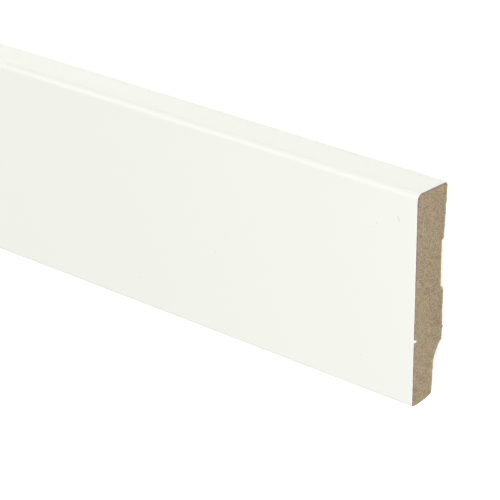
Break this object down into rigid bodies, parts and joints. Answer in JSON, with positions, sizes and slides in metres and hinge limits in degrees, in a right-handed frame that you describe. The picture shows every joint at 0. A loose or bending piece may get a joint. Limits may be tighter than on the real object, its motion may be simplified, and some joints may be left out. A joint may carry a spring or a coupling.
{
  "type": "skirting board",
  "caption": "Straight length of flat white skirting board: foil-wrapped fibreboard with a rounded top edge, a bevelled foot, and a back machined with wall pads, a relief and a cable rebate.",
  "frame": {"origin": "middle of the board's length and of its height, on the plane of its back (z = 0)", "axes": "+X along the length towards the end that the picture shows; +Y up the board's height, from the foot to the rounded top edge; +Z out of the white face, through the thickness"},
  "size_m": [2.4, 0.08, 0.017],
  "materials": {
    "raw_fibreboard": "raw, sawn and planed fibreboard",
    "white_foil": "smooth white foil with a low satin sheen"
  },
  "bodies": {
    "root": {"mdf_core": "raw_fibreboard", "wrap_foil": "white_foil"}
  },
  "joints": []
}
